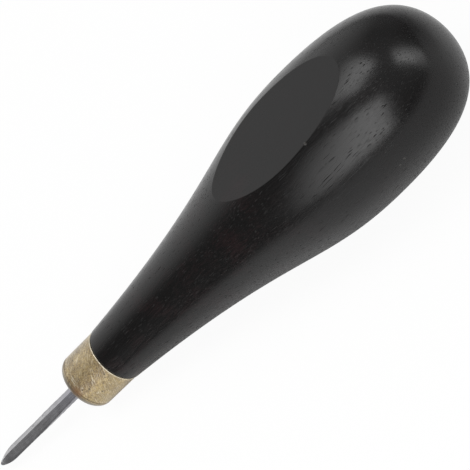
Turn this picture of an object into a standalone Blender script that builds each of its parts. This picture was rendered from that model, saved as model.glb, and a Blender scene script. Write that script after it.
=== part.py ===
# Stitching awl: a turned ebony haft, a brass ferrule and a diamond-section steel blade.
#
# Each piece is drawn upright on the tool's own axis, Z, with the shoulder of the haft at
# zero, the butt above it and the blade below it. The thumb flat faces +X there.
# One empty then lays the tool on the bench: it rests on its belly and on the lip of its
# ferrule with the thumb flat up, its blade points along +X, and the origin is on the
# bench under the middle of its length.

import math

import bmesh
import bpy
from mathutils import Vector
from mathutils.geometry import interpolate_bezier

MM = 0.001

# Haft, with stations measured from the shoulder towards the butt
HAFT_LENGTH = 102.0 * MM
BELLY_STATION = 71.6 * MM
BELLY_DIAMETER = 33.0 * MM
SHOULDER_DIAMETER = 12.8 * MM
SHOULDER_EASE = 0.4 * MM
NECK_FLARE = math.radians(4.6)
NECK_SLIM_LENGTH = 46.5 * MM
BELLY_FRONT_FULLNESS = 21.2 * MM
BELLY_REAR_FULLNESS = 24.2 * MM
BUTT_FULLNESS = 10.5 * MM

# Thumb flat, sunk below the belly and leaning towards the blade
THUMB_FLAT_DEPTH = 2.05 * MM
THUMB_FLAT_LEAN = math.radians(2.3)

# Ferrule
FERRULE_LENGTH = 10.9 * MM
FERRULE_REAR_DIAMETER = 12.7 * MM
FERRULE_FRONT_DIAMETER = 12.6 * MM
FERRULE_SIDE_WALL = 0.9 * MM
FERRULE_FRONT_WALL = 1.2 * MM
FERRULE_LIP_RADIUS = 1.9 * MM
FERRULE_REAR_CHAMFER = 0.15 * MM

# Blade, a diamond whose two sharp edges widen into lands towards the ferrule
BLADE_REACH = 28.7 * MM
BLADE_WIDTH = 3.5 * MM
BLADE_THICKNESS = 1.75 * MM
POINT_LENGTH = 5.0 * MM
LAND_LENGTH = 12.0 * MM
LAND_WIDTH = 0.9 * MM
ROOT_WIDTH = 2.9 * MM

# Tang, a tapered square whose diagonals line up with the blade's
TANG_LENGTH = 26.0 * MM
TANG_DIAGONAL = 2.8 * MM
TANG_TIP_DIAGONAL = 1.0 * MM

# Fits and facets
CLEARANCE = 0.3 * MM
TURNED_FACETS = 65  # odd, so that a facet and not an edge lies on the bench
CURVE_STEPS = 22
RIM_STEPS = 6
POINT_STEPS = 8
TOUCHING = 0.001 * MM

# Finishes: colour in linear light, roughness, metallic
EBONY = ((0.014, 0.012, 0.012), 0.32, 0.0)
BRASS = ((0.36, 0.27, 0.13), 0.40, 1.0)
STEEL = ((0.40, 0.40, 0.42), 0.30, 1.0)

# Sizes that follow from the ones above
BELLY_RADIUS = BELLY_DIAMETER / 2
REAR_RADIUS = FERRULE_REAR_DIAMETER / 2
FRONT_RADIUS = FERRULE_FRONT_DIAMETER / 2
FERRULE_FRONT = -FERRULE_LENGTH
FERRULE_REAR = -CLEARANCE
CUP_FLOOR = FERRULE_FRONT + FERRULE_FRONT_WALL
TENON_END = CUP_FLOOR + CLEARANCE
TANG_END = TENON_END + TANG_LENGTH
BLADE_TIP = FERRULE_FRONT - BLADE_REACH
ROOT_CORNER_RADIUS = math.hypot(ROOT_WIDTH, LAND_WIDTH) / 2
BLADE_HOLE_RADIUS = max(ROOT_CORNER_RADIUS, TANG_DIAGONAL / 2) + CLEARANCE


def clear_scene():
    for old in list(bpy.data.objects):
        bpy.data.objects.remove(old, do_unlink=True)


def new_collection(name):
    collection = bpy.data.collections.new(name)
    bpy.context.scene.collection.children.link(collection)
    return collection


def new_finish(name, colour, roughness, metallic):
    finish = bpy.data.materials.new(name)
    finish.use_nodes = True
    shader = finish.node_tree.nodes["Principled BSDF"]
    shader.inputs["Base Color"].default_value = (*colour, 1.0)
    shader.inputs["Roughness"].default_value = roughness
    shader.inputs["Metallic"].default_value = metallic
    return finish


def add_object(name, mesh, collection):
    piece = bpy.data.objects.new(name, mesh)
    collection.objects.link(piece)
    return piece


def add_cutter(name, mesh, collection):
    cutter = add_object(name, mesh, collection)
    cutter.hide_render = True
    cutter.display_type = "WIRE"
    return cutter


def ferrule_radius(station):
    """Outer radius of the slightly tapered ferrule at a station on the axis."""
    share = station / FERRULE_FRONT
    return REAR_RADIUS + share * (FRONT_RADIUS - REAR_RADIUS)


def rounded_rim(side_radius, face_station, size):
    """A quarter round from a turned side down to the flat face below it."""
    rim = []
    for step in range(RIM_STEPS + 1):
        turn = math.pi / 2 * step / RIM_STEPS
        radius = side_radius - size * (1 - math.cos(turn))
        station = face_station + size * (1 - math.sin(turn))
        rim.append(Vector((radius, 0, station)))
    return rim


def haft_outline():
    """The turned outside of the haft, from the butt over the belly to the eased shoulder."""
    butt = Vector((0, 0, HAFT_LENGTH))
    belly = Vector((BELLY_RADIUS, 0, BELLY_STATION))
    shoulder = Vector((SHOULDER_DIAMETER / 2, 0, SHOULDER_EASE))
    outward = Vector((BUTT_FULLNESS, 0, 0))
    rearward = Vector((0, 0, BELLY_REAR_FULLNESS))
    forward = Vector((0, 0, -BELLY_FRONT_FULLNESS))
    slim = NECK_SLIM_LENGTH * Vector((math.tan(NECK_FLARE), 0, 1))
    dome = interpolate_bezier(butt, butt + outward, belly + rearward, belly, CURVE_STEPS)
    neck = interpolate_bezier(belly, belly + forward, shoulder + slim, shoulder, CURVE_STEPS)
    return dome + neck[1:-1] + rounded_rim(SHOULDER_DIAMETER / 2, 0, SHOULDER_EASE)


def tenon_outline():
    """The tenon inside the ferrule, from the shoulder to its end on the axis."""
    shrink = FERRULE_SIDE_WALL + CLEARANCE
    root = Vector((ferrule_radius(0) - shrink, 0, 0))
    end = Vector((ferrule_radius(TENON_END) - shrink, 0, TENON_END))
    return [root, end, Vector((0, 0, TENON_END))]


def ferrule_outline():
    """The closed section of the ferrule: down the outside, round the lip and up the bore."""
    chamfer_end = FERRULE_REAR - FERRULE_REAR_CHAMFER
    side = [
        Vector((ferrule_radius(FERRULE_REAR) - FERRULE_REAR_CHAMFER, 0, FERRULE_REAR)),
        Vector((ferrule_radius(chamfer_end), 0, chamfer_end)),
    ]
    lip_radius = ferrule_radius(FERRULE_FRONT + FERRULE_LIP_RADIUS)
    lip = rounded_rim(lip_radius, FERRULE_FRONT, FERRULE_LIP_RADIUS)
    inside = [
        Vector((BLADE_HOLE_RADIUS, 0, FERRULE_FRONT)),
        Vector((BLADE_HOLE_RADIUS, 0, CUP_FLOOR)),
        Vector((ferrule_radius(CUP_FLOOR) - FERRULE_SIDE_WALL, 0, CUP_FLOOR)),
        Vector((ferrule_radius(FERRULE_REAR) - FERRULE_SIDE_WALL, 0, FERRULE_REAR)),
    ]
    return side + lip + inside


def turned_piece(name, outline, closed, collection):
    """Turn an outline about the axis, as on a lathe."""
    edges = [(index, index + 1) for index in range(len(outline) - 1)]
    if closed:
        edges.append((len(outline) - 1, 0))
    mesh = bpy.data.meshes.new(name)
    mesh.from_pydata(outline, edges, [])
    piece = add_object(name, mesh, collection)
    lathe = piece.modifiers.new("lathe", "SCREW")
    lathe.axis = "Z"
    lathe.angle = math.tau
    lathe.steps = TURNED_FACETS
    lathe.render_steps = TURNED_FACETS
    lathe.use_merge_vertices = True
    lathe.merge_threshold = TOUCHING
    lathe.use_smooth_shade = True
    return piece


def keep_flats_flat(piece):
    """Shade by the larger faces, so that flats and rims stay crisp beside the round sides."""
    piece.modifiers.new("shading", "WEIGHTED_NORMAL")


def cut(piece, cutter):
    boolean = piece.modifiers.new(cutter.name, "BOOLEAN")
    boolean.operation = "DIFFERENCE"
    boolean.solver = "EXACT"
    boolean.object = cutter


def diamond(station, width, thickness, land):
    """A diamond across the axis, wide along Y, with a land on each of its wide corners."""
    half_width = width / 2
    half_thickness = thickness / 2
    half_land = land / 2
    return [
        Vector((half_thickness, 0, station)),
        Vector((half_land, half_width, station)),
        Vector((-half_land, half_width, station)),
        Vector((-half_thickness, 0, station)),
        Vector((-half_land, -half_width, station)),
        Vector((half_land, -half_width, station)),
    ]


def lofted_mesh(name, sections):
    """Skin a row of six-cornered sections and close both ends."""
    body = bmesh.new()
    rings = [[body.verts.new(corner) for corner in section] for section in sections]
    for ring, following in zip(rings, rings[1:]):
        for index in range(len(ring)):
            after = (index + 1) % len(ring)
            body.faces.new((ring[index], ring[after], following[after], following[index]))
    body.faces.new(rings[0])
    body.faces.new(rings[-1])
    bmesh.ops.remove_doubles(body, verts=body.verts, dist=TOUCHING)
    bmesh.ops.recalc_face_normals(body, faces=body.faces)
    mesh = bpy.data.meshes.new(name)
    body.to_mesh(mesh)
    body.free()
    return mesh


def point_sections():
    """The point: both diagonals grow from the tip along one tangent ogive."""
    half_width = BLADE_WIDTH / 2
    sweep = (half_width ** 2 + POINT_LENGTH ** 2) / (2 * half_width)
    sections = []
    for step in range(POINT_STEPS + 1):
        ahead = POINT_LENGTH * (1 - step / POINT_STEPS)
        share = (math.sqrt(sweep ** 2 - ahead ** 2) + half_width - sweep) / half_width
        station = BLADE_TIP + POINT_LENGTH - ahead
        sections.append(diamond(station, share * BLADE_WIDTH, share * BLADE_THICKNESS, 0))
    return sections


def shank_sections():
    """The shank, from where its lands begin to its root in the ferrule's hole."""
    return [
        diamond(FERRULE_FRONT - LAND_LENGTH, BLADE_WIDTH, BLADE_THICKNESS, 0),
        diamond(FERRULE_FRONT, ROOT_WIDTH, BLADE_THICKNESS, LAND_WIDTH),
    ]


def tang_sections(front, end, allowance):
    """The square taper of the tang, grown by an allowance on each face."""
    growth = 2 * math.sqrt(2) * allowance
    slope = (TANG_TIP_DIAGONAL - TANG_DIAGONAL) / TANG_LENGTH
    sections = []
    for station in (front, end):
        diagonal = TANG_DIAGONAL + slope * (station - TENON_END) + growth
        sections.append(diamond(station, diagonal, diagonal, 0))
    return sections


def make_haft(parts, cutters):
    haft = turned_piece("haft", haft_outline() + tenon_outline(), False, parts)

    block_size = (BELLY_DIAMETER, 2 * BELLY_DIAMETER, 2 * HAFT_LENGTH)
    block = bmesh.new()
    bmesh.ops.create_cube(block, size=1)
    bmesh.ops.scale(block, vec=block_size, verts=block.verts)
    bmesh.ops.translate(block, vec=(BELLY_DIAMETER / 2, 0, 0), verts=block.verts)
    block_mesh = bpy.data.meshes.new("thumb_flat_cutter")
    block.to_mesh(block_mesh)
    block.free()
    flat_cutter = add_cutter("thumb_flat_cutter", block_mesh, cutters)
    flat_cutter.location = (BELLY_RADIUS - THUMB_FLAT_DEPTH, 0, BELLY_STATION)
    flat_cutter.rotation_euler.y = THUMB_FLAT_LEAN
    cut(haft, flat_cutter)

    socket = tang_sections(TENON_END - CLEARANCE, TANG_END + CLEARANCE, CLEARANCE)
    socket_mesh = lofted_mesh("tang_socket_cutter", socket)
    socket_cutter = add_cutter("tang_socket_cutter", socket_mesh, cutters)
    cut(haft, socket_cutter)

    keep_flats_flat(haft)
    haft.data.materials.append(new_finish("polished_ebony", *EBONY))
    return haft, [flat_cutter, socket_cutter]


def make_ferrule(parts):
    ferrule = turned_piece("ferrule", ferrule_outline(), True, parts)
    keep_flats_flat(ferrule)
    ferrule.data.materials.append(new_finish("aged_brass", *BRASS))
    return ferrule


def make_blade(parts):
    sections = point_sections() + shank_sections() + tang_sections(TENON_END, TANG_END, 0)
    blade = add_object("blade", lofted_mesh("blade", sections), parts)
    blade.data.materials.append(new_finish("ground_steel", *STEEL))
    return blade


def resting_tilt():
    """How far the axis rises towards the butt when both the belly and the lip touch the bench."""
    haft = haft_outline()
    return min(
        max(math.atan2(low.x - lip.x, low.z - lip.z) for low in haft)
        for lip in ferrule_outline()
    )


def lay_on_bench(parts, pieces, helpers):
    """Hang every piece on one empty, tilt it to rest and bring its footprint to the origin."""
    bench = bpy.data.objects.new("bench_pose", None)
    parts.objects.link(bench)
    bench.rotation_euler.y = resting_tilt() - math.pi / 2
    for piece in pieces + helpers:
        piece.parent = bench
    bpy.context.view_layer.update()
    graph = bpy.context.evaluated_depsgraph_get()
    corners = []
    for piece in pieces:
        solid = piece.evaluated_get(graph)
        corners += [solid.matrix_world @ vertex.co for vertex in solid.data.vertices]
    low = Vector(min(corner[axis] for corner in corners) for axis in range(3))
    high = Vector(max(corner[axis] for corner in corners) for axis in range(3))
    middle = (low + high) / 2
    bench.location = (-middle.x, -middle.y, -low.z)


def main():
    clear_scene()
    parts = new_collection("stitching_awl")
    cutters = new_collection("cutters")
    haft, helpers = make_haft(parts, cutters)
    ferrule = make_ferrule(parts)
    blade = make_blade(parts)
    lay_on_bench(parts, [haft, ferrule, blade], helpers)


main()
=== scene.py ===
# Stitching awl: the looks of its ebony haft, brass ferrule and ground steel blade.
# Each piece is modelled upright in millimetres on the tool's own axis, with the shoulder of
# the haft at zero, the butt above and the blade below, and is then laid where the frame lies.

import math
import random

import bmesh
import bpy
from mathutils import Matrix, Vector


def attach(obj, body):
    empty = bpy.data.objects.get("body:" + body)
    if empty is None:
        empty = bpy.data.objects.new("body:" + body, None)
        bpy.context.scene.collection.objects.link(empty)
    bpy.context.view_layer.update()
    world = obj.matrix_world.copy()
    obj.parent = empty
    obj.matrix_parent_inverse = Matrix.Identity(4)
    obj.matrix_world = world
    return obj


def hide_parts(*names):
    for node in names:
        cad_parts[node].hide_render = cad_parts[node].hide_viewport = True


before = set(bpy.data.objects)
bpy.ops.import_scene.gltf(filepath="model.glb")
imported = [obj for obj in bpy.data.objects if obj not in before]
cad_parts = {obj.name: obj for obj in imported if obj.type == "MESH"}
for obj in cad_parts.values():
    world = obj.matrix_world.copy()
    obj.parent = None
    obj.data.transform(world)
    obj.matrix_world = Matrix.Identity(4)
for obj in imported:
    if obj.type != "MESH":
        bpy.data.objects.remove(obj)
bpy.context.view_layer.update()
mm = 0.001
print("frame loaded:", ", ".join(sorted(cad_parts)))


# Where the tool lies, read from the frame's blade

toolSet = {
    "ferruleLength": 10.9,
    "bladeReach": 28.7,
    "tangSlice": 0.5,  # this much of the tang's far end shows where the axis runs
    "bladeOffCentre": (0.06, -0.074, 0),  # the tang isn't driven quite true
}


def findAxis():
    corners = [corner.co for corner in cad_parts["blade"].data.vertices]
    tip = max(corners, key=lambda corner: corner.x)
    farX = min(corner.x for corner in corners)
    tang = [corner for corner in corners if corner.x < farX + toolSet["tangSlice"] * mm]
    low = Vector(min(corner[i] for corner in tang) for i in range(3))
    high = Vector(max(corner[i] for corner in tang) for i in range(3))
    return tip.copy(), ((low + high) / 2 - tip).normalized()


tip, toolAxis = findAxis()
shoulder = tip + toolAxis * (toolSet["ferruleLength"] + toolSet["bladeReach"]) * mm
toolSide = Vector((0, 1, 0))
toolTop = toolSide.cross(toolAxis).normalized()  # the way the thumb flat faces
toolTurn = Matrix((toolTop, toolSide, toolAxis)).transposed()
toolPlace = Matrix.Translation(shoulder) @ toolTurn.to_4x4() @ Matrix.Scale(mm, 4)
print("tool axis leans", round(math.degrees(math.asin(toolAxis.z)), 3), "degrees")


# Helpers for modelling

near = 0.001  # millimetres within which a corner lies on a plane or a ring
squarely = 0.9  # how much of a face's normal points a way when the face is picked for it


def deselectAll():
    if bpy.context.object and bpy.context.object.mode != "OBJECT":
        bpy.ops.object.mode_set(mode="OBJECT")
    bpy.ops.object.select_all(action="DESELECT")


def pick(piece, kind, test):
    bpy.ops.mesh.select_mode(type=kind)
    bpy.ops.mesh.select_all(action="DESELECT")
    shape = bmesh.from_edit_mesh(piece.data)
    for part in {"VERT": shape.verts, "EDGE": shape.edges, "FACE": shape.faces}[kind]:
        if test(part):
            part.select_set(True)
    shape.select_flush_mode()
    bmesh.update_edit_mesh(piece.data)


def applyModifier(piece, name, kind, **settings):
    modifier = piece.modifiers.new(name, kind)
    for setting, value in settings.items():
        setattr(modifier, setting, value)
    bpy.context.view_layer.objects.active = piece
    bpy.ops.object.modifier_apply(modifier=modifier.name)


def smoothAndLay(piece, sharpFrom):
    deselectAll()
    piece.select_set(True)
    bpy.context.view_layer.objects.active = piece
    bpy.ops.object.shade_smooth_by_angle(angle=math.radians(sharpFrom))
    applyModifier(piece, "shading", "WEIGHTED_NORMAL", keep_sharp=True)
    piece.matrix_world = toolPlace
    bpy.ops.object.transform_apply(location=True, rotation=True, scale=True)


def standFor(piece, name, node, material):
    piece.name = name
    piece.data.materials.clear()
    piece.data.materials.append(material)
    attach(piece, "root")
    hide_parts(node)
    print(name, "made:", len(piece.data.polygons), "faces")


# Helpers for materials
# noise lies mostly between 0.3 and 0.7, so From Min and From Max say how much of it shows

def linear(hexColour):
    channels = [int(hexColour[i:i + 2], 16) / 255 for i in (1, 3, 5)]
    return [c / 12.92 if c <= 0.04045 else ((c + 0.055) / 1.055) ** 2.4 for c in channels] + [1]


def feed(tree, node, feeds):
    for socket, value in feeds.items():
        if isinstance(value, bpy.types.NodeSocket):
            tree.links.new(value, node.inputs[socket])
        else:
            node.inputs[socket].default_value = value


def addNode(tree, kind, feeds, **settings):
    node = tree.nodes.new(kind)
    for setting, value in settings.items():
        setattr(node, setting, value)
    feed(tree, node, feeds)
    return node


# each layer is a share and a colour, laid over what is under it
def paintOver(tree, colour, layers):
    for share, shade in layers:
        colour = addNode(tree, "ShaderNodeMix", {
            "Factor": share, 6: colour, 7: linear(shade),
        }, data_type="RGBA").outputs[2]
    return colour


# round marks at places of their own, each fading from its core to its size
def markLayers(tree, place, marks, core):
    layers = []
    for at, size, strength, shade in marks:
        away = addNode(tree, "ShaderNodeVectorMath", {0: place, 1: at}, operation="DISTANCE")
        spot = addNode(tree, "ShaderNodeMapRange", {
            "Value": away.outputs["Value"], "From Min": core * size, "From Max": size,
            "To Min": strength, "To Max": 0,
        })
        layers.append((spot.outputs["Result"], shade))
    return layers


def newMaterial(name):
    material = bpy.data.materials.new(name)
    material.use_nodes = True
    return material, material.node_tree, material.node_tree.nodes["Principled BSDF"]


# millimetres on the tool's axis, so that a pattern follows the turning
def toolCoordinates(tree):
    coords = addNode(tree, "ShaderNodeTexCoord", {})
    return addNode(tree, "ShaderNodeMapping", {
        "Vector": coords.outputs["Object"],
        "Location": shoulder,
        "Rotation": toolTurn.to_euler(),
        "Scale": (mm, mm, mm),
    }, vector_type="TEXTURE").outputs["Vector"]


# Haft: turned from ebony, oiled and polished, with a sanded thumb flat

haftSet = {
    "length": 101.82,
    "bellyStation": 71.6,
    "bellyRadius": 16.474,
    "shoulderRadius": 6.47,
    "shoulderEase": 0.4,
    "shoulderRound": 0.392,  # a little under the ease, so that no two rings meet
    "shoulderSegments": 5,
    "neckFlare": 4.6,  # degrees
    "neckSlim": 46.5,
    "bellyFront": 21.2,
    "bellyRear": 24.1,
    "buttFullness": 10.8,
    "flatDepth": 2.05,
    "flatLean": 2.3,  # degrees
    "flatEase": 0.07,
    "flatSegments": 2,
    "rimSpacing": 0.12,  # corners of the flat's rim that lie closer become one
    "nick": (14.51, 7.76, 73.82),  # a knock on the rim of the flat
    "nickRadius": 0.55,
    "nickDepth": 0.22,
    "dents": [(0.6, 15.82, 83.75), (0.2, 16.03, 82.0)],  # lesser knocks low on the belly
    "dentRadius": 0.4,
    "dentDepth": 0.08,
    "knockSegments": 20,
    "knockRings": 12,
    "tenonRadius": 5.15,
    "tenonLength": 9.4,
    "socketMouth": 1.83,
    "socketEnd": 0.9,
    "socketDepth": 26.3,
    "socketPast": 0.01,  # the cutter starts this far outside the tenon
    "curveSteps": 72,
    "turnSteps": 192,
    "sharpFrom": 32,  # degrees between two faces from which their edge is shaded sharp
}
flatLean = math.radians(haftSet["flatLean"])
flatFacing = Vector((math.cos(flatLean), 0, -math.sin(flatLean)))
flatMiddle = Vector((haftSet["bellyRadius"] - haftSet["flatDepth"], 0, haftSet["bellyStation"]))


def makeHaft():
    s = haftSet
    slimRadius = s["shoulderRadius"] + s["neckSlim"] * math.tan(math.radians(s["neckFlare"]))
    belly = Vector((s["bellyRadius"], 0, s["bellyStation"]))
    butt = Vector((0, 0, s["length"]))
    neckEnd = Vector((s["shoulderRadius"], 0, s["shoulderEase"]))
    outline = [
        (butt, butt, butt + Vector((s["buttFullness"], 0, 0))),
        (belly, belly + Vector((0, 0, s["bellyRear"])), belly - Vector((0, 0, s["bellyFront"]))),
        (neckEnd, Vector((slimRadius, 0, s["shoulderEase"] + s["neckSlim"])), neckEnd),
    ]
    deselectAll()
    bpy.ops.curve.primitive_bezier_curve_add(location=(0, 0, 0))
    spline = bpy.context.object.data.splines[0]
    spline.bezier_points.add(len(outline) - len(spline.bezier_points))
    for point, (place, before, after) in zip(spline.bezier_points, outline):
        point.handle_left_type = "FREE"
        point.handle_right_type = "FREE"
        point.co = place
        point.handle_left = before
        point.handle_right = after
    bpy.context.object.data.resolution_u = s["curveSteps"]
    spline.resolution_u = s["curveSteps"]
    bpy.ops.object.convert(target="MESH")
    haft = bpy.context.object

    # shoulder and tenon are drawn on from the end of the neck, then all is turned
    bpy.ops.object.mode_set(mode="EDIT")
    pick(haft, "VERT", lambda v: v.co.z < s["shoulderEase"] + near)
    drawnOn = [
        (0, 0, -s["shoulderEase"]),
        (s["tenonRadius"] - s["shoulderRadius"], 0, 0),
        (0, 0, -s["tenonLength"]),
        (-s["tenonRadius"], 0, 0),
    ]
    for step in drawnOn:
        bpy.ops.mesh.extrude_vertices_move(TRANSFORM_OT_translate={"value": step})
    bpy.ops.mesh.select_all(action="SELECT")
    bpy.ops.mesh.spin(steps=s["turnSteps"], angle=math.tau, center=(0, 0, 0), axis=(0, 0, 1))
    bpy.ops.mesh.select_all(action="SELECT")
    bpy.ops.mesh.remove_doubles(threshold=near / 2)
    bpy.ops.mesh.normals_make_consistent(inside=False)

    # edge of the shoulder eased
    def onShoulder(v):
        return abs(v.co.z) < near and v.co.xy.length > s["shoulderRadius"] - near

    pick(haft, "EDGE", lambda e: all(onShoulder(v) for v in e.verts))
    bpy.ops.mesh.bevel(
        offset=s["shoulderRound"],
        segments=s["shoulderSegments"],
        affect="EDGES",
    )

    # thumb flat sliced off, and its rim eased by a rub of fine paper
    bpy.ops.mesh.select_mode(type="FACE")
    bpy.ops.mesh.select_all(action="SELECT")
    bpy.ops.mesh.bisect(plane_co=flatMiddle, plane_no=flatFacing, use_fill=True, clear_outer=True)

    def onRim(v):
        return abs((v.co - flatMiddle).dot(flatFacing)) < near

    pick(haft, "VERT", onRim)
    bpy.ops.mesh.remove_doubles(threshold=s["rimSpacing"])
    rim = [v.co.copy() for v in bmesh.from_edit_mesh(haft.data).verts if onRim(v)]
    pick(haft, "EDGE", lambda e: all(onRim(v) for v in e.verts))
    bpy.ops.mesh.bevel(
        offset=s["flatEase"],
        segments=s["flatSegments"],
        affect="EDGES",
        clamp_overlap=False,
    )

    # square socket for the tang, and the knocks
    deselectAll()
    bpy.ops.mesh.primitive_cone_add(
        vertices=4,
        radius1=s["socketMouth"],
        radius2=s["socketEnd"],
        depth=s["socketDepth"],
        location=(0, 0, s["socketDepth"] / 2 - s["tenonLength"] - s["socketPast"]),
    )
    cutters = [bpy.context.object]
    nicked = min(rim, key=lambda place: (place - Vector(s["nick"])).length)
    knocks = [(nicked, (nicked * Vector((1, 1, 0))).normalized(), s["nickRadius"], s["nickDepth"])]
    depsgraph = bpy.context.evaluated_depsgraph_get()
    for dent in s["dents"]:
        place, outwards = haft.closest_point_on_mesh(dent, depsgraph=depsgraph)[1:3]
        knocks.append((place, outwards, s["dentRadius"], s["dentDepth"]))
    for place, outwards, radius, depth in knocks:
        deselectAll()
        bpy.ops.mesh.primitive_uv_sphere_add(
            segments=s["knockSegments"],
            ring_count=s["knockRings"],
            radius=radius,
            location=place + outwards * (radius - depth),
        )
        cutters.append(bpy.context.object)
    for cutter in cutters:
        applyModifier(haft, "cut", "BOOLEAN", operation="DIFFERENCE", object=cutter)
        bpy.data.objects.remove(cutter)

    # slivers that the cutting leaves are taken out
    bpy.ops.object.mode_set(mode="EDIT")
    bpy.ops.mesh.select_all(action="SELECT")
    bpy.ops.mesh.dissolve_degenerate(threshold=near)
    smoothAndLay(haft, s["sharpFrom"])
    return haft


# Polished ebony: near black, with a waxed skin that mirrors softly, open pores that break
# its highlights into short dark dashes along the grain, faint red-brown streaks at the neck,
# and bare wood in the knocks
ebonySet = {
    "black": "#090808",
    "brown": "#160c0d",
    "bare": "#343230",
    "bareSize": 0.8,  # of a knock's radius
    "bareCore": 0.5,
    "brownUpTo": 64.0,
    "brownFades": 14.0,
    "brownOnBelly": 0.1,
    "waxIor": 1.37,
    "roughness": 0.245,
    "satin": (-0.03, 0.06),  # how far the fibres change that roughness
    "poreRoughness": 0.95,
    "poreRadius": 0.082,  # wide for ebony, so that the pores show
    "poreSpacing": 0.34,
    "poreLength": 22.0,
    "poreDepth": 0.02,
    "poresOnFlat": 0.15,
    "flatSkin": (0.12, 0.04),  # depths under the flat between which the pores close
    "fibreWidth": 0.24,  # real fibres are far finer, and are drawn this coarse so that they show
    "fibreLength": 2.6,
    "fibreRelief": 0.25,  # against the depth of a pore
    "streakWidth": 0.35,
    "streakLength": 9.0,
    "patchSize": 9.0,
    "patchFineness": 1.4,  # the streaks come in patches finer than that by this much
    "wander": 1.6,  # how far the grain strays sideways
}


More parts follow.
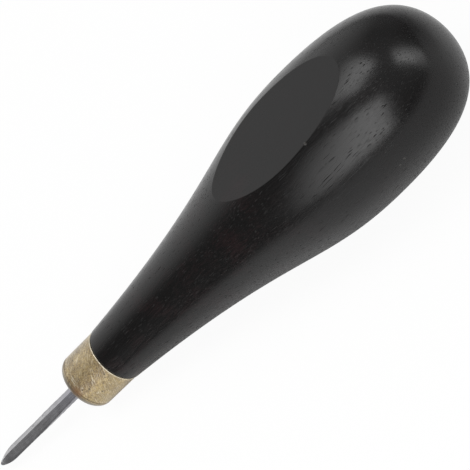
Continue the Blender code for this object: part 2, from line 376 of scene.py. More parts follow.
def polishedEbony():
    s = ebonySet
    material, tree, shader = newMaterial("polished_ebony")
    place = toolCoordinates(tree)
    parts = addNode(tree, "ShaderNodeSeparateXYZ", {"Vector": place})

    # fibres wander a little along the haft
    wander = addNode(tree, "ShaderNodeTexNoise", {
        "Vector": place, "Scale": 1 / s["patchSize"], "Detail": 2,
    })
    drift = addNode(tree, "ShaderNodeVectorMath", {
        0: wander.outputs["Color"], 1: (s["wander"], s["wander"], 0),
    }, operation="MULTIPLY")
    grain = addNode(tree, "ShaderNodeVectorMath", {
        0: place, 1: drift.outputs["Vector"],
    }, operation="ADD")

    def alongGrain(width, length):
        return addNode(tree, "ShaderNodeVectorMath", {
            0: grain.outputs["Vector"], 1: (1, 1, width / length),
        }, operation="MULTIPLY").outputs["Vector"]

    # fine fibres along the grain
    fibres = addNode(tree, "ShaderNodeTexNoise", {
        "Vector": alongGrain(s["fibreWidth"], s["fibreLength"]),
        "Scale": 1 / s["fibreWidth"], "Detail": 2,
    })

    # pores are long tubes along the grain, cut open by the surface and filled here and there
    cells = addNode(tree, "ShaderNodeTexVoronoi", {
        "Vector": alongGrain(s["poreSpacing"], s["poreLength"]), "Scale": 1 / s["poreSpacing"],
    })
    relative = s["poreRadius"] / s["poreSpacing"]
    opened = addNode(tree, "ShaderNodeMapRange", {
        "Value": cells.outputs["Distance"],
        "From Min": relative * 0.6, "From Max": relative * 1.2, "To Min": 1, "To Max": 0,
    })
    kind = addNode(tree, "ShaderNodeSeparateXYZ", {"Vector": cells.outputs["Color"]})
    depth = addNode(tree, "ShaderNodeMapRange", {
        "Value": kind.outputs["X"], "From Min": 0.2, "From Max": 0.85, "To Min": 0.25, "To Max": 1,
    })

    # sanding dust and wax fill them on the flat
    height = addNode(tree, "ShaderNodeVectorMath", {0: place, 1: flatFacing}, operation="DOT_PRODUCT")
    flatAt = flatMiddle.dot(flatFacing)
    clear = addNode(tree, "ShaderNodeMapRange", {
        "Value": height.outputs["Value"],
        "From Min": flatAt - s["flatSkin"][0], "From Max": flatAt - s["flatSkin"][1],
        "To Min": 1, "To Max": s["poresOnFlat"],
    })
    broken = addNode(tree, "ShaderNodeMapRange", {
        "Value": fibres.outputs["Fac"], "From Min": 0.4, "From Max": 0.5,
    })
    pores = opened.outputs["Result"]
    for share in (broken, depth, clear):
        pores = addNode(tree, "ShaderNodeMath", {
            0: pores, 1: share.outputs["Result"],
        }, operation="MULTIPLY").outputs["Value"]

    # red-brown streaks along the neck
    streaks = addNode(tree, "ShaderNodeTexNoise", {
        "Vector": alongGrain(s["streakWidth"], s["streakLength"]),
        "Scale": 1 / s["streakWidth"], "Detail": 3,
    })
    patches = addNode(tree, "ShaderNodeTexNoise", {
        "Vector": place, "Scale": s["patchFineness"] / s["patchSize"], "Detail": 1,
    })
    streaky = addNode(tree, "ShaderNodeMath", {
        0: streaks.outputs["Fac"], 1: patches.outputs["Fac"],
    }, operation="MULTIPLY")
    brownness = addNode(tree, "ShaderNodeMapRange", {
        "Value": streaky.outputs["Value"], "From Min": 0.23, "From Max": 0.45,
    })
    onNeck = addNode(tree, "ShaderNodeMapRange", {
        "Value": parts.outputs["Z"],
        "From Min": s["brownUpTo"] - s["brownFades"], "From Max": s["brownUpTo"],
        "To Min": 1, "To Max": s["brownOnBelly"],
    })
    tinted = addNode(tree, "ShaderNodeMath", {
        0: brownness.outputs["Result"], 1: onNeck.outputs["Result"],
    }, operation="MULTIPLY")

    # bare wood shows in the knocks
    knocks = [(haftSet["nick"], haftSet["nickRadius"])]
    knocks += [(dent, haftSet["dentRadius"]) for dent in haftSet["dents"]]
    bared = [(at, s["bareSize"] * radius, 1, s["bare"]) for at, radius in knocks]
    layers = [(tinted.outputs["Value"], s["brown"])]
    layers += markLayers(tree, place, bared, s["bareCore"])
    wood = paintOver(tree, linear(s["black"]), layers)

    # fibres and streaks show through the polish as a fine satin
    texture = addNode(tree, "ShaderNodeMath", {
        0: fibres.outputs["Fac"], 1: streaks.outputs["Fac"],
    }, operation="ADD")
    satin = addNode(tree, "ShaderNodeMath", {
        0: texture.outputs["Value"], 1: clear.outputs["Result"],
    }, operation="MULTIPLY")
    polish = addNode(tree, "ShaderNodeMapRange", {
        "Value": satin.outputs["Value"], "From Min": 0.75, "From Max": 1.25,
        "To Min": s["roughness"] + s["satin"][0], "To Max": s["roughness"] + s["satin"][1],
    })
    roughness = addNode(tree, "ShaderNodeMix", {
        "Factor": pores, 2: polish.outputs["Result"], 3: s["poreRoughness"],
    })
    raised = addNode(tree, "ShaderNodeMath", {
        0: satin.outputs["Value"], 1: s["fibreRelief"],
    }, operation="MULTIPLY")
    relief = addNode(tree, "ShaderNodeMath", {
        0: raised.outputs["Value"], 1: pores,
    }, operation="SUBTRACT")
    bump = addNode(tree, "ShaderNodeBump", {
        "Height": relief.outputs["Value"], "Distance": s["poreDepth"] * mm, "Strength": 1,
    })

    feed(tree, shader, {
        "Base Color": wood,
        "Roughness": roughness.outputs[0],
        "Normal": bump.outputs["Normal"],
        "IOR": s["waxIor"],
    })
    return material


haft = makeHaft()
standFor(haft, "ebony_haft", "haft", polishedEbony())


# Ferrule: a turned brass cup with a rounded lip and a fine line where the lip begins

ferruleSet = {
    "rearRadius": 6.33,
    "frontRadius": 6.27,
    "rear": -0.2,
    "front": -10.9,
    "sideWall": 0.9,
    "frontWall": 1.2,
    "holeRadius": 1.82,
    "holeFit": (1.03, 1.6),  # half its height and width once it is broached to the blade
    "lipRadius": 1.85,
    "lipSegments": 14,
    "groove": -8.93,
    "grooveWidth": 0.2,
    "grooveDepth": 0.07,
    "rearEase": 0.14,
    "holeEase": 0.2,
    "easeSegments": 3,
    "sides": 144,
    "ringSlack": 0.05,  # corners of an inset ring lie a little off its radius
    "sharpFrom": 32,  # degrees
}


def makeFerrule():
    s = ferruleSet
    deselectAll()
    bpy.ops.mesh.primitive_cone_add(
        vertices=s["sides"],
        radius1=s["frontRadius"],
        radius2=s["rearRadius"],
        depth=s["rear"] - s["front"],
        end_fill_type="NGON",
        location=(0, 0, (s["rear"] + s["front"]) / 2),
    )
    ferrule = bpy.context.object
    bpy.ops.object.transform_apply(location=True, rotation=True, scale=True)
    bpy.ops.object.mode_set(mode="EDIT")

    # cup sunk from the rear, and a hole for the blade let through its floor
    cupDepth = s["rear"] - s["front"] - s["frontWall"]
    pick(ferrule, "FACE", lambda f: f.normal.z > squarely)
    bpy.ops.mesh.inset(thickness=s["sideWall"])
    bpy.ops.mesh.extrude_region_move(TRANSFORM_OT_translate={"value": (0, 0, -cupDepth)})
    bpy.ops.mesh.inset(thickness=s["rearRadius"] - s["sideWall"] - s["holeRadius"])
    bpy.ops.mesh.delete(type="FACE")
    pick(ferrule, "FACE", lambda f: f.normal.z < -squarely)
    bpy.ops.mesh.inset(thickness=s["frontRadius"] - s["holeRadius"])
    bpy.ops.mesh.delete(type="FACE")
    pick(ferrule, "EDGE", lambda e: e.is_boundary)
    bpy.ops.mesh.bridge_edge_loops()

    def easeRing(station, radius, size, segments):
        def onRing(v):
            return abs(v.co.z - station) < near and abs(v.co.xy.length - radius) < s["ringSlack"]

        pick(ferrule, "EDGE", lambda e: all(onRing(v) for v in e.verts))
        bpy.ops.mesh.bevel(offset=size, segments=segments, affect="EDGES")

    # fine turned line where the lip's round begins
    outside = s["frontRadius"] - s["sideWall"] / 2  # only the outer face of the wall is wider

    def onSide(f):
        return f.normal.xy.length > squarely and f.calc_center_median().xy.length > outside

    for shift in (0.5, 0, -0.5):
        pick(ferrule, "FACE", onSide)
        cutAt = (0, 0, s["groove"] + shift * s["grooveWidth"])
        bpy.ops.mesh.bisect(plane_co=cutAt, plane_no=(0, 0, 1))
    pick(ferrule, "VERT", lambda v: abs(v.co.z - s["groove"]) < near and v.co.xy.length > outside)
    narrow = 1 - s["grooveDepth"] / s["frontRadius"]
    bpy.ops.transform.resize(value=(narrow, narrow, 1), center_override=(0, 0, 0))

    easeRing(s["front"], s["frontRadius"], s["lipRadius"], s["lipSegments"])
    easeRing(s["rear"], s["rearRadius"], s["rearEase"], s["easeSegments"])
    easeRing(s["front"], s["holeRadius"], s["holeEase"], s["easeSegments"])

    # hole broached to the blade and moved to where the blade sits
    holeReach = s["holeRadius"] + s["holeEase"] + s["ringSlack"]
    pick(ferrule, "VERT", lambda v: v.co.xy.length < holeReach)
    fit = [half / s["holeRadius"] for half in s["holeFit"]]
    bpy.ops.transform.resize(value=(*fit, 1), center_override=(0, 0, 0))
    bpy.ops.transform.translate(value=toolSet["bladeOffCentre"])
    bpy.ops.mesh.select_all(action="SELECT")
    bpy.ops.mesh.normals_make_consistent(inside=False)
    smoothAndLay(ferrule, s["sharpFrom"])
    return ferrule


# Aged brass: handled for years, so olive and brown oxide lies in patches over yellow metal,
# under a thin old lacquer that softens its shine, with bands round the girth that are partly wear and
# partly painted light and shade, fine scratches, a few pits, painted glints, a stain beside the blade, a
# lip painted darker and a rear edge both rubbed and painted with a highlight
brassSet = {
    "yellow": "#b9a475",
    "brown": "#6d5b42",
    "brownFrom": 0.55,  # where the oxide begins to brown the metal
    "brownFull": 0.83,
    "patchSize": 2.2,
    "patchShare": 0.38,  # against the mottle
    "choice": 3.0,  # any other number lays the patches out anew
    "mottleSize": 0.36,
    "mottleRoughness": 0.84,
    "rubbedAndShadedBands": [(-2.4, 1.8, 0.04), (4.5, 2.4, 0.08), (10.6, 5.2, -0.08)],  # place, half width, more oxide
    "roughness": 0.48,
    "oxidised": (-0.1, 0.12),  # how far the oxide changes that roughness
    "lacquer": 0.9,
    "lacquerRoughness": 0.32,
    "scratchWidth": 0.09,  # real scratches are finer, and are drawn this coarse so that they show
    "scratchLength": 1.8,
    "scratchSlant": 35,  # degrees
    "scratchShine": 0.8,
    "scores": [(2.5, -8.15), (2.1, -7.75)],  # round the girth and along the axis
    "scoreSize": (1.25, 0.07),
    "scoreShine": 0.6,
    # clean metal in the scratches and scores, and the colour of the painted highlights on the rear edge
    # and glints
    "cleanMetalAndHighlight": "#ece4d0",
    # the rear edge is painted bright: rubbed metal, and a painted highlight where its ease catches the
    # lamps
    "rearRubAndHighlight": 0.75,
    "rearReach": 2.4,  # in widths of the eased edge
    # the lip painted a darker grey, from the turned line to the front
    "lip": "#7d776d",
    "lipDarkened": 0.72,
    "lipFades": (-0.5, -0.2),  # from the turned line
    "tarnish": "#5d4d38",
    "lineTarnished": 0.7,
    "pit": "#40331e",
    "pits": [
        (1.63, 6.12, -5.26),
        (3.81, 5.09, -1.36),
        (3.75, 5.1, -6.51),
        (4.4, 4.55, -7.8),
        (6.18, -1.45, -6.06),
    ],
    "pitSize": 0.3,
    "pitStrength": 0.95,
    # painted glints: small bright spots in the colour that stand for highlights
    "paintedGlints": [(4.61, 4.34, -7.44), (2.11, 5.97, -6.29)],
    "paintedGlintStrength": 0.45,
    "stain": "#80603f",
    "stainAt": (4.7, 4.2, -9.5),
    "stainSize": 1.9,
    "stainStrength": 0.75,
    "markCore": 0.3,
    "relief": 0.03,
}


def agedBrass():
    s = brassSet
    f = ferruleSet
    material, tree, shader = newMaterial("aged_brass")
    place = toolCoordinates(tree)
    parts = addNode(tree, "ShaderNodeSeparateXYZ", {"Vector": place})

    # broad patches of oxide with a finer mottle in them
    patches = addNode(tree, "ShaderNodeTexNoise", {
        "Vector": place, "W": s["choice"], "Scale": 1 / s["patchSize"], "Detail": 2,
    }, noise_dimensions="4D")
    mottle = addNode(tree, "ShaderNodeTexNoise", {
        "Vector": place, "Scale": 1 / s["mottleSize"], "Detail": 4,
        "Roughness": s["mottleRoughness"], "Distortion": 0.5,
    })
    oxide = addNode(tree, "ShaderNodeMath", {
        0: patches.outputs["Fac"], 1: s["patchShare"], 2: mottle.outputs["Fac"],
    }, operation="MULTIPLY_ADD")

    # browner bands and a cleaner band round the girth, partly handling wear and partly painted shade on
    # the sides turned from the lamps and painted light on the side facing them: a place round the girth,
    # half the width there, and how much more oxide it has
    turn = addNode(tree, "ShaderNodeMath", {
        0: parts.outputs["Y"], 1: parts.outputs["X"],
    }, operation="ARCTAN2")
    girth = addNode(tree, "ShaderNodeMath", {
        0: turn.outputs["Value"], 1: f["rearRadius"],
    }, operation="MULTIPLY")
    for girthAt, halfWidth, more in s["rubbedAndShadedBands"]:
        beside = addNode(tree, "ShaderNodeMath", {
            0: girth.outputs["Value"], 1: girthAt,
        }, operation="SUBTRACT")
        away = addNode(tree, "ShaderNodeMath", {0: beside.outputs["Value"]}, operation="ABSOLUTE")
        sideBand = addNode(tree, "ShaderNodeMapRange", {
            "Value": away.outputs["Value"], "From Max": halfWidth, "To Min": more, "To Max": 0,
        }, interpolation_type="SMOOTHSTEP")
        oxide = addNode(tree, "ShaderNodeMath", {0: oxide.outputs["Value"], 1: sideBand.outputs["Result"]})
    browned = addNode(tree, "ShaderNodeMapRange", {
        "Value": oxide.outputs["Value"], "From Min": s["brownFrom"], "From Max": s["brownFull"],
    })

    # scratches run slantwise round the turned side, unrolled here, and show clean metal
    unrolled = addNode(tree, "ShaderNodeCombineXYZ", {
        "X": girth.outputs["Value"], "Y": parts.outputs["Z"],
    })
    slanted = addNode(tree, "ShaderNodeMapping", {
        "Vector": unrolled.outputs["Vector"], "Rotation": (0, 0, math.radians(s["scratchSlant"])),
    })
    drawnOut = addNode(tree, "ShaderNodeVectorMath", {
        0: slanted.outputs["Vector"], 1: (1 / s["scratchLength"], 1 / s["scratchWidth"], 1),
    }, operation="MULTIPLY")
    scratches = addNode(tree, "ShaderNodeTexNoise", {
        "Vector": drawnOut.outputs["Vector"], "Scale": 1, "Detail": 2, "Distortion": 0.6,
    })
    scratched = addNode(tree, "ShaderNodeMapRange", {
        "Value": scratches.outputs["Fac"], "From Min": 0.56, "From Max": 0.7,
        "To Max": s["scratchShine"],
    })

    # tarnish lies in the turned line, the lip is painted darker, and the rear edge is rubbed metal with a
    # painted highlight on it
    inLine = addNode(tree, "ShaderNodeMath", {
        0: parts.outputs["Z"], 1: f["groove"],
    }, operation="SUBTRACT")
    fromLine = addNode(tree, "ShaderNodeMath", {0: inLine.outputs["Value"]}, operation="ABSOLUTE")
    edge = addNode(tree, "ShaderNodeMapRange", {
        "Value": parts.outputs["Z"],
        "From Min": f["rear"] - s["rearReach"] * f["rearEase"], "From Max": f["rear"],
        "To Max": s["rearRubAndHighlight"],
    })
    dark = addNode(tree, "ShaderNodeMapRange", {
        "Value": fromLine.outputs["Value"],
        "From Min": 0.4 * f["grooveWidth"], "From Max": f["grooveWidth"],
        "To Min": s["lineTarnished"], "To Max": 0,
    })
    lip = addNode(tree, "ShaderNodeMapRange", {
        "Value": parts.outputs["Z"],
        "From Min": f["groove"] + s["lipFades"][0], "From Max": f["groove"] + s["lipFades"][1],
        "To Min": s["lipDarkened"], "To Max": 0,
    })
    layers = [
        (browned.outputs["Result"], s["brown"]),
        (scratched.outputs["Result"], s["cleanMetalAndHighlight"]),
        (edge.outputs["Result"], s["cleanMetalAndHighlight"]),
        (lip.outputs["Result"], s["lip"]),
        (dark.outputs["Result"], s["tarnish"]),
    ]

    # two scores round the side
    for girthAt, station in s["scores"]:
        beside = addNode(tree, "ShaderNodeMapping", {
            "Vector": unrolled.outputs["Vector"], "Location": (girthAt, station, 0),
            "Scale": (*s["scoreSize"], 1),
        }, vector_type="TEXTURE")
        away = addNode(tree, "ShaderNodeVectorMath", {0: beside.outputs["Vector"]}, operation="LENGTH")
        score = addNode(tree, "ShaderNodeMapRange", {
            "Value": away.outputs["Value"], "From Min": 0.6, "From Max": 1,
            "To Min": s["scoreShine"], "To Max": 0,
        })
        layers.append((score.outputs["Result"], s["cleanMetalAndHighlight"]))

    # pits, painted glints as small bright spots in the colour, and the stain
    marks = [(at, s["pitSize"], s["pitStrength"], s["pit"]) for at in s["pits"]]
    marks += [(at, s["pitSize"], s["paintedGlintStrength"], s["cleanMetalAndHighlight"]) for at in s["paintedGlints"]]
    marks.append((s["stainAt"], s["stainSize"], s["stainStrength"], s["stain"]))
    layers += markLayers(tree, place, marks, s["markCore"])
    colour = paintOver(tree, linear(s["yellow"]), layers)

    roughness = addNode(tree, "ShaderNodeMapRange", {
        "Value": oxide.outputs["Value"], "From Min": 0.4, "From Max": 0.98,
        "To Min": s["roughness"] + s["oxidised"][0], "To Max": s["roughness"] + s["oxidised"][1],
    })
    relief = addNode(tree, "ShaderNodeMath", {
        0: scratches.outputs["Fac"], 1: mottle.outputs["Fac"],
    }, operation="ADD")
    bump = addNode(tree, "ShaderNodeBump", {
        "Height": relief.outputs["Value"], "Distance": s["relief"] * mm, "Strength": 1,
    })

    feed(tree, shader, {
        "Base Color": colour,
        "Roughness": roughness.outputs["Result"],
        "Normal": bump.outputs["Normal"],
        "Metallic": 1,
        "Coat Weight": s["lacquer"],
        "Coat Roughness": s["lacquerRoughness"],
    })
    return material


ferrule = makeFerrule()
standFor(ferrule, "brass_ferrule", "ferrule", agedBrass())


# Blade: one piece of tool steel, ground to a diamond, with a square tang

bladeSet = {
    "root": -10.9,
    "reach": 28.68,
    "width": 3.5,
    "thickness": 1.75,
    "rootWidth": 2.9,
    "rootLand": 0.9,
    "taperLength": 12.0,
    "landLength": 16.0,
    "edgeLand": 0.06,
    "pointLength": 5.0,
    "throat": -9.5,
    "tangFront": -8.4,
    "tangEnd": 16.6,
    "tangDiagonal": 2.8,
    "tangEndDiagonal": 1.0,
    "nose": 0.45,  # length of the worn tip
    "facetCrown": 0.012,
    "ridgeEase": 0.025,
    "ridgeSegments": 2,
    "ridgeSlack": 0.05,  # how far off its line a corner of a ridge may lie
    "ridgeStops": 0.8,  # the ridges are left sharp this close to the tip
    "ridgeStep": 0.1,  # shorter edges there aren't part of a ridge
    "ridgeShift": -0.1,  # ground by eye, so the ridge isn't quite central
    "shankSteps": 40,
    "pointSteps": 14,
    "wobble": 0.008,  # ground by hand on a stone
    "chipped": 0.035,
    "chippedFrom": 1.4,  # a corner this far across lies on an edge
    "seed": 7,
    "sharpFrom": 24,  # degrees
}


def diamondRing(station, width, thickness, land, crown):
    ridge = Vector((thickness / 2, 0))
    edge = Vector((land / 2, width / 2))
    middle = (ridge + edge) / 2 + crown * Vector((width, thickness)).normalized()
    quarter = [ridge, middle, edge]
    half = [(p.x, p.y) for p in quarter] + [(-p.x, p.y) for p in reversed(quarter)]
    other = [(-x, -y) for x, y in half[1:5]]
    lean = bladeSet["ridgeShift"] if crown else 0
    return [(x, y + lean * abs(x) / ridge.x, station) for x, y in half + other]


def bladeRings():
    s = bladeSet
    tipStation = s["root"] - s["reach"]
    pointStart = tipStation + s["pointLength"]
    taperStart = s["root"] - s["taperLength"]
    landStart = s["root"] - s["landLength"]
    rings = [
        diamondRing(s["tangEnd"], s["tangEndDiagonal"], s["tangEndDiagonal"], s["edgeLand"], 0),
        diamondRing(s["tangFront"], s["tangDiagonal"], s["tangDiagonal"], s["edgeLand"], 0),
        diamondRing(s["throat"], s["rootWidth"], s["thickness"], s["rootLand"], s["facetCrown"]),
    ]
    for step in range(s["shankSteps"] + 1):
        station = s["root"] + (pointStart - s["root"]) * step / s["shankSteps"]
        narrowed = max(0, (station - taperStart) / s["taperLength"])
        landed = max(0, (station - landStart) / s["landLength"])
        width = s["width"] + narrowed * (s["rootWidth"] - s["width"])
        land = s["edgeLand"] + landed * (s["rootLand"] - s["edgeLand"])
        rings.append(diamondRing(station, width, s["thickness"], land, s["facetCrown"]))
    half = s["width"] / 2
    sharpLength = s["pointLength"] + s["nose"]
    sweep = (half ** 2 + sharpLength ** 2) / (2 * half)  # radius of the ogive
    for step in range(1, s["pointSteps"]):
        ahead = s["pointLength"] * math.sin(math.pi / 2 * step / s["pointSteps"])
        share = (math.sqrt(sweep ** 2 - ahead ** 2) + half - sweep) / half
        worn = max(0, 1 - (s["pointLength"] - ahead) / s["nose"])
        share *= math.sqrt(1 - worn ** 2)
        sizes = [share * s[name] for name in ("width", "thickness", "edgeLand", "facetCrown")]
        rings.append(diamondRing(pointStart - ahead, *sizes))
    return rings, Vector((0, 0, tipStation))


def makeBlade():
    s = bladeSet
    rings, bladeTip = bladeRings()
    chance = random.Random(s["seed"])
    deselectAll()
    bpy.ops.mesh.primitive_circle_add(vertices=len(rings[0]), radius=1, fill_type="NGON")
    blade = bpy.context.object
    bpy.ops.object.mode_set(mode="EDIT")
    bpy.ops.mesh.select_mode(type="FACE")
    bpy.ops.mesh.select_all(action="SELECT")
    for number, ring in enumerate(rings):
        if number:
            bpy.ops.mesh.extrude_region_move()
        shape = bmesh.from_edit_mesh(blade.data)
        end = next(face for face in shape.faces if face.select)
        for corner, place in zip(end.verts, ring):
            uneven = s["wobble"] if place[2] < s["root"] else 0
            onLand = s["root"] > place[2] > s["root"] - s["landLength"]
            if onLand and abs(place[1]) > s["chippedFrom"]:
                uneven = s["chipped"]
            corner.co = Vector(place) + Vector(toolSet["bladeOffCentre"])
            corner.co.x += chance.uniform(-uneven, uneven)
            corner.co.y += chance.uniform(-uneven, uneven)
        bmesh.update_edit_mesh(blade.data)
    bpy.ops.mesh.extrude_region_move()
    bpy.ops.mesh.select_mode(type="VERT")
    bpy.ops.mesh.merge(type="CENTER")
    shape = bmesh.from_edit_mesh(blade.data)
    next(v for v in shape.verts if v.select).co = bladeTip + Vector(toolSet["bladeOffCentre"])
    bmesh.update_edit_mesh(blade.data)
    bpy.ops.mesh.select_all(action="SELECT")
    bpy.ops.mesh.normals_make_consistent(inside=False)

    # ridges rubbed a little round
    ridgeAt = toolSet["bladeOffCentre"][1] + s["ridgeShift"]
    ridgeEnd = bladeTip.z + s["ridgeStops"]

    def onRidge(v):
        return abs(v.co.y - ridgeAt) < s["ridgeSlack"] and s["root"] > v.co.z > ridgeEnd

    def alongRidge(e):
        return all(onRidge(v) for v in e.verts) and e.calc_length() > s["ridgeStep"]

    pick(blade, "EDGE", alongRidge)
    bpy.ops.mesh.bevel(offset=s["ridgeEase"], segments=s["ridgeSegments"], affect="EDGES")
    smoothAndLay(blade, s["sharpFrom"])
    return blade


# Ground tool steel: satin from a fine stone, so its facets mirror the surround dully, with
# hair-fine lines along the grind, a painted shade along the edges, a faint blue where the forging heat
# stopped, two smudges and a painted highlight at the tip
steelSet = {
    "bright": "#b0b0b2",
    "dull": "#959496",
    "cloudSize": 1.2,
    "roughness": 0.275,
    "lined": (-0.05, 0.08),  # how far the lines change that roughness
    "lineWidth": 0.22,  # the stone's lines are finer, and drawn this coarse so that they show
    "lineLength": 7.0,
    "relief": 0.01,
    # painted shade beside the edges, standing in for the shadowed floor they mirror
    "edge": "#88878a",
    "edgeShadeShare": 0.7,
    "edgeShadeBand": (0.68, 0.9, 0.95, 0.985),  # where the painted shade begins, is full, fades and ends
    "heated": "#96959e",
    "heatedLength": 14.0,
    "heatedShare": 0.8,
    # a painted highlight at the tip, lighter as if it mirrored the sky
    "worn": "#c4c4c6",
    "tipHighlightLength": 2.3,
    "tipHighlightCore": 0.6,
    "tipHighlightShare": 0.9,
    "smudge": "#626165",
    "smudges": [(0.45, -1.19, -23.7), (0.5, -1.1, -27.2)],
    "smudgeSize": 0.36,
    "smudgeCore": 0.3,
    "smudgeShare": 0.9,
}


def groundSteel():
    s = steelSet
    b = bladeSet
    material, tree, shader = newMaterial("ground_tool_steel")
    place = toolCoordinates(tree)
    centred = addNode(tree, "ShaderNodeVectorMath", {
        0: place, 1: toolSet["bladeOffCentre"],
    }, operation="SUBTRACT")
    parts = addNode(tree, "ShaderNodeSeparateXYZ", {"Vector": centred.outputs["Vector"]})
    clouds = addNode(tree, "ShaderNodeTexNoise", {
        "Vector": place, "Scale": 1 / s["cloudSize"], "Detail": 4,
    })
    drawnOut = addNode(tree, "ShaderNodeVectorMath", {
        0: place, 1: (1 / s["lineWidth"], 1 / s["lineWidth"], 1 / s["lineLength"]),
    }, operation="MULTIPLY")
    lines = addNode(tree, "ShaderNodeTexNoise", {
        "Vector": drawnOut.outputs["Vector"], "Scale": 1, "Detail": 2,
    })
    uneven = addNode(tree, "ShaderNodeMath", {
        0: clouds.outputs["Fac"], 1: lines.outputs["Fac"],
    }, operation="ADD")
    cloudy = addNode(tree, "ShaderNodeMapRange", {
        "Value": uneven.outputs["Value"], "From Min": 0.8, "From Max": 1.2,
    })

    # a painted shade beside each edge, the blue by the ferrule, and a painted highlight at the tip
    halfWidth = addNode(tree, "ShaderNodeMapRange", {
        "Value": parts.outputs["Z"], "From Min": b["root"] - b["taperLength"], "From Max": b["root"],
        "To Min": b["width"] / 2, "To Max": b["rootWidth"] / 2,
    })
    fromRidge = addNode(tree, "ShaderNodeMath", {0: parts.outputs["Y"]}, operation="ABSOLUTE")
    across = addNode(tree, "ShaderNodeMath", {
        0: fromRidge.outputs["Value"], 1: halfWidth.outputs["Result"],
    }, operation="DIVIDE")
    nearEdge = addNode(tree, "ShaderNodeMapRange", {
        "Value": across.outputs["Value"],
        "From Min": s["edgeShadeBand"][0], "From Max": s["edgeShadeBand"][1],
    })
    belowLand = addNode(tree, "ShaderNodeMapRange", {
        "Value": across.outputs["Value"],
        "From Min": s["edgeShadeBand"][2], "From Max": s["edgeShadeBand"][3],
        "To Min": s["edgeShadeShare"], "To Max": 0,
    })
    paintedEdgeShade = addNode(tree, "ShaderNodeMath", {
        0: nearEdge.outputs["Result"], 1: belowLand.outputs["Result"],
    }, operation="MULTIPLY")
    heat = addNode(tree, "ShaderNodeMapRange", {
        "Value": parts.outputs["Z"], "From Min": b["root"] - s["heatedLength"], "From Max": b["root"],
        "To Max": s["heatedShare"],
    })
    tipAt = b["root"] - b["reach"]
    paintedTipHighlight = addNode(tree, "ShaderNodeMapRange", {
        "Value": parts.outputs["Z"],
        "From Min": tipAt + s["tipHighlightCore"] * s["tipHighlightLength"], "From Max": tipAt + s["tipHighlightLength"],
        "To Min": s["tipHighlightShare"], "To Max": 0,
    })
    layers = [
        (cloudy.outputs["Result"], s["dull"]),
        (heat.outputs["Result"], s["heated"]),
        (paintedEdgeShade.outputs["Value"], s["edge"]),
        (paintedTipHighlight.outputs["Result"], s["worn"]),
    ]
    smudges = [(at, s["smudgeSize"], s["smudgeShare"], s["smudge"]) for at in s["smudges"]]
    layers += markLayers(tree, place, smudges, s["smudgeCore"])
    colour = paintOver(tree, linear(s["bright"]), layers)

    roughness = addNode(tree, "ShaderNodeMapRange", {
        "Value": lines.outputs["Fac"], "From Min": 0.3, "From Max": 0.7,
        "To Min": s["roughness"] + s["lined"][0], "To Max": s["roughness"] + s["lined"][1],
    })
    bump = addNode(tree, "ShaderNodeBump", {
        "Height": lines.outputs["Fac"], "Distance": s["relief"] * mm, "Strength": 1,
    })
    feed(tree, shader, {
        "Base Color": colour,
        "Roughness": roughness.outputs["Result"],
        "Normal": bump.outputs["Normal"],
        "Metallic": 1,
    })
    return material


blade = makeBlade()
standFor(blade, "steel_blade", "blade", groundSteel())


# Studio: a pale floor, three soft boxes, a lit card at the butt and a dim room with paler walls

floorSet = {
    "size": 40.0,  # metres, as the lengths below are
    "below": 0.00005,
    "colour": "#e0e0e0",
    "shownWhite": 0.94,  # how far the floor shows as plain white, the rest keeps the shadow
    "mirroredWhite": 1.0,  # the same in reflections, but only on the side of the palest wall
    "mirroredFrom": -0.002,
    "mirroredFull": -0.022,
    "mirroredEnd": (-0.13, -0.07),  # past the butt, where that white has gone and where it is full
    "dark": "#5a5a5a",  # painted dark that only reflections see: off the strip the paper is painted dark, as if it lay in a dim room
    "stripAcross": 42,  # degrees
    "stripMiddle": -0.045,
    "stripHalf": 0.205,
    "paintedDarkPatches": [  # dark patches painted on the floor, seen only in reflections in place of dark cards past the butt and beside the blade, with how far each is dark and fades
        ((-0.14, -0.085, 0), 0.02, 0.07),
        ((-0.108, -0.036, 0), 0.005, 0.03),
        ((0.1, 0.085, 0), 0.015, 0.08),
    ],
}


def towards(azimuth, elevation):
    a = math.radians(azimuth)
    e = math.radians(elevation)
    return Vector((math.cos(a) * math.cos(e), math.sin(a) * math.cos(e), math.sin(e)))


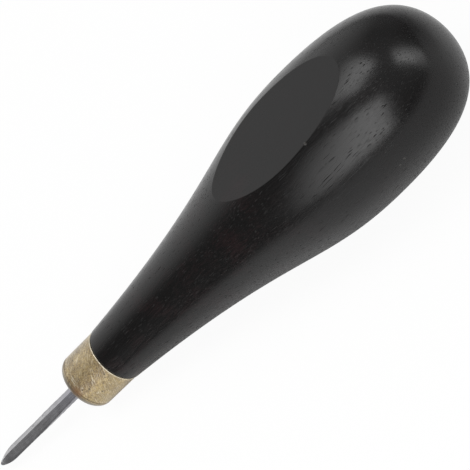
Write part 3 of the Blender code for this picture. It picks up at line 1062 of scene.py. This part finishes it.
def paleFloor():
    s = floorSet
    material, tree, shader = newMaterial("matt_white_card")
    path = addNode(tree, "ShaderNodeLightPath", {})
    seen = addNode(tree, "ShaderNodeMath", {
        0: path.outputs["Is Camera Ray"], 1: s["shownWhite"],
    }, operation="MULTIPLY")
    mirrored = addNode(tree, "ShaderNodeMath", {
        0: path.outputs["Is Glossy Ray"], 1: path.outputs["Is Transmission Ray"],
    }, operation="MAXIMUM")
    coords = addNode(tree, "ShaderNodeTexCoord", {})
    parts = addNode(tree, "ShaderNodeSeparateXYZ", {"Vector": coords.outputs["Object"]})
    pale = addNode(tree, "ShaderNodeMapRange", {
        "Value": parts.outputs["Y"], "From Min": s["mirroredFull"], "From Max": s["mirroredFrom"],
        "To Min": s["mirroredWhite"], "To Max": 0,
    })
    pastButt = addNode(tree, "ShaderNodeMapRange", {
        "Value": parts.outputs["X"], "From Min": s["mirroredEnd"][0], "From Max": s["mirroredEnd"][1],
    })
    shining = addNode(tree, "ShaderNodeMath", {
        0: pale.outputs["Result"], 1: pastButt.outputs["Result"],
    }, operation="MULTIPLY")
    across = addNode(tree, "ShaderNodeVectorMath", {
        0: coords.outputs["Object"], 1: towards(s["stripAcross"], 0),
    }, operation="DOT_PRODUCT")
    onStrip = addNode(tree, "ShaderNodeMath", {
        0: across.outputs["Value"], 1: s["stripMiddle"], 2: s["stripHalf"],
    }, operation="COMPARE")
    held = addNode(tree, "ShaderNodeMath", {
        0: mirrored.outputs["Value"], 1: onStrip.outputs["Value"],
    }, operation="MULTIPLY")
    share = addNode(tree, "ShaderNodeMath", {
        0: held.outputs["Value"], 1: shining.outputs["Value"], 2: seen.outputs["Value"],
    }, operation="MULTIPLY_ADD")
    # for reflections the floor is painted dark off the strip and round the painted dark patches
    darkened = addNode(tree, "ShaderNodeMath", {
        0: mirrored.outputs["Value"], 1: held.outputs["Value"],
    }, operation="SUBTRACT")
    for patchAt, core, faded in s["paintedDarkPatches"]:
        fromPatch = addNode(tree, "ShaderNodeVectorMath", {
            0: coords.outputs["Object"], 1: patchAt,
        }, operation="DISTANCE")
        darkPatch = addNode(tree, "ShaderNodeMapRange", {
            "Value": fromPatch.outputs["Value"], "From Min": core, "From Max": faded,
            "To Min": 1, "To Max": 0,
        })
        patchDark = addNode(tree, "ShaderNodeMath", {
            0: mirrored.outputs["Value"], 1: darkPatch.outputs["Result"],
        }, operation="MULTIPLY")
        darkened = addNode(tree, "ShaderNodeMath", {
            0: darkened.outputs["Value"], 1: patchDark.outputs["Value"],
        }, operation="MAXIMUM")
    feed(tree, shader, {
        "Base Color": paintOver(tree, linear(s["colour"]), [(darkened.outputs["Value"], s["dark"])]),
        "Roughness": 1,
        "Specular IOR Level": 0,
    })
    white = addNode(tree, "ShaderNodeEmission", {"Color": (1, 1, 1, 1), "Strength": 1})
    mixed = addNode(tree, "ShaderNodeMixShader", {
        0: share.outputs["Value"], 1: shader.outputs["BSDF"], 2: white.outputs["Emission"],
    })
    tree.links.new(mixed.outputs["Shader"], tree.nodes["Material Output"].inputs["Surface"])
    material.cycles.emission_sampling = "NONE"
    deselectAll()
    bpy.ops.mesh.primitive_plane_add(size=s["size"], location=(0, 0, -s["below"]))
    floor = bpy.context.object
    floor.name = "floor"
    floor.data.materials.append(material)


# azimuth from +X towards +Y and elevation in degrees, sizes in metres, and bright is the
# azimuth of a box's brighter side
softBoxes = {
    "sideBox": {
        "azimuth": 68.5, "elevation": 28, "width": 0.8, "height": 0.9, "radiance": 4.6, "bright": 160,
    },
    "buttBox": {
        "azimuth": 180, "elevation": 32, "width": 0.43, "height": 0.58, "radiance": 5.0, "bright": 90,
    },
    "topBox": {
        "azimuth": 308, "elevation": 79.2, "width": 0.58, "height": 0.7, "radiance": 4.6, "bright": 142,
    },
    "buttCard": {
        "azimuth": 176, "elevation": 5, "width": 0.5, "height": 0.36, "radiance": 3.0, "bright": 270,
    },
}
boxDistance = 1.0
boxFade = 0.08  # how bright a box is at its far side, against its bright side
boxFull = 0.1  # part of its width, past the middle, from which it is fully bright


def hangSoftBoxes():
    for name, box in softBoxes.items():
        lamp = bpy.data.lights.new(name, "AREA")
        lamp.shape = "RECTANGLE"
        lamp.size = box["width"]
        lamp.size_y = box["height"]
        lamp.energy = box["radiance"] * math.pi * box["width"] * box["height"]
        lamp.use_nodes = True
        tree = lamp.node_tree
        facing = towards(box["azimuth"], box["elevation"])
        brightWay = towards(box["bright"], 0)
        onBox = addNode(tree, "ShaderNodeNewGeometry", {})
        along = addNode(tree, "ShaderNodeVectorMath", {
            0: onBox.outputs["Position"], 1: brightWay,
        }, operation="DOT_PRODUCT")
        middle = facing.dot(brightWay) * boxDistance
        fade = addNode(tree, "ShaderNodeMapRange", {
            "Value": along.outputs["Value"],
            "From Min": middle - box["width"] / 2, "From Max": middle + boxFull * box["width"],
            "To Min": boxFade, "To Max": 1,
        })
        tree.links.new(fade.outputs["Result"], tree.nodes["Emission"].inputs["Strength"])
        holder = bpy.data.objects.new(name, lamp)
        bpy.context.scene.collection.objects.link(holder)
        holder.location = facing * boxDistance
        holder.rotation_euler = facing.to_track_quat("Z", "Y").to_euler()


# a wall's light is added to the dim room, and fades is the cosine of the angle where it has gone
roomSet = {
    "dim": 0.19,
    "walls": [
        {"azimuth": 307, "elevation": 22, "light": 0.935, "fades": 0.63},
        {"azimuth": 162, "elevation": 54, "light": 0.32, "fades": 0.35},
        {"azimuth": 246, "elevation": 3, "light": 0.17, "fades": 0.8},
        {"azimuth": 250, "elevation": 40, "light": 0.1, "fades": 0.8},
        {"azimuth": 4, "elevation": 63, "light": 0.7, "fades": 0.97},
    ],
}


def dimRoom():
    s = roomSet
    world = bpy.data.worlds.new("studio")
    world.use_nodes = True
    tree = world.node_tree
    coords = addNode(tree, "ShaderNodeTexCoord", {})
    light = s["dim"]
    for wall in s["walls"]:
        facing = addNode(tree, "ShaderNodeVectorMath", {
            0: coords.outputs["Generated"], 1: towards(wall["azimuth"], wall["elevation"]),
        }, operation="DOT_PRODUCT")
        glow = addNode(tree, "ShaderNodeMapRange", {
            "Value": facing.outputs["Value"], "From Min": wall["fades"], "From Max": 1,
            "To Max": wall["light"],
        }, interpolation_type="SMOOTHSTEP")
        light = addNode(tree, "ShaderNodeMath", {0: glow.outputs["Result"], 1: light}).outputs["Value"]
    tree.links.new(light, tree.nodes["Background"].inputs["Color"])
    bpy.context.scene.world = world


paleFloor()
hangSoftBoxes()
dimRoom()
bpy.context.scene.view_settings.view_transform = "Standard"
print("studio lit")


# Camera, set from how the awl lies in the picture

cameraSet = {
    "sensor": 36.0,
    "lens": 268.1,
    "distance": 689.2,
    "aimStation": 39.16,
    "roundAxis": 39.407,  # degrees round the axis from the flat's own direction
    "towardsButt": 30.415,  # degrees from square to the axis
    "axisRise": 44.391,  # degrees that the axis climbs in the picture
    "pictureSize": 470,
    "aimPixel": (234.234, 236.635),
}


def setCamera():
    s = cameraSet
    around = math.radians(s["roundAxis"])
    lift = math.radians(s["towardsButt"])
    rise = math.radians(s["axisRise"])
    square = math.cos(around) * toolTop + math.sin(around) * toolSide
    across = math.sin(around) * toolTop - math.cos(around) * toolSide
    back = math.cos(lift) * square + math.sin(lift) * toolAxis
    along = math.cos(lift) * toolAxis - math.sin(lift) * square
    right = math.cos(rise) * along - math.sin(rise) * across
    up = math.sin(rise) * along + math.cos(rise) * across
    aim = shoulder + s["aimStation"] * mm * toolAxis
    pixel = s["distance"] * mm * s["sensor"] / (s["lens"] * s["pictureSize"])
    middle = s["pictureSize"] / 2
    shiftRight = (middle - s["aimPixel"][0]) * pixel
    shiftUp = (s["aimPixel"][1] - middle) * pixel
    lens = bpy.data.cameras.new("camera")
    lens.lens = s["lens"]
    lens.sensor_width = s["sensor"]
    camera = bpy.data.objects.new("camera", lens)
    bpy.context.scene.collection.objects.link(camera)
    place = aim + s["distance"] * mm * back + shiftRight * right + shiftUp * up
    turn = Matrix((right, up, back)).transposed().to_4x4()
    camera.matrix_world = Matrix.Translation(place) @ turn
    bpy.context.scene.camera = camera


setCamera()
print("camera set")
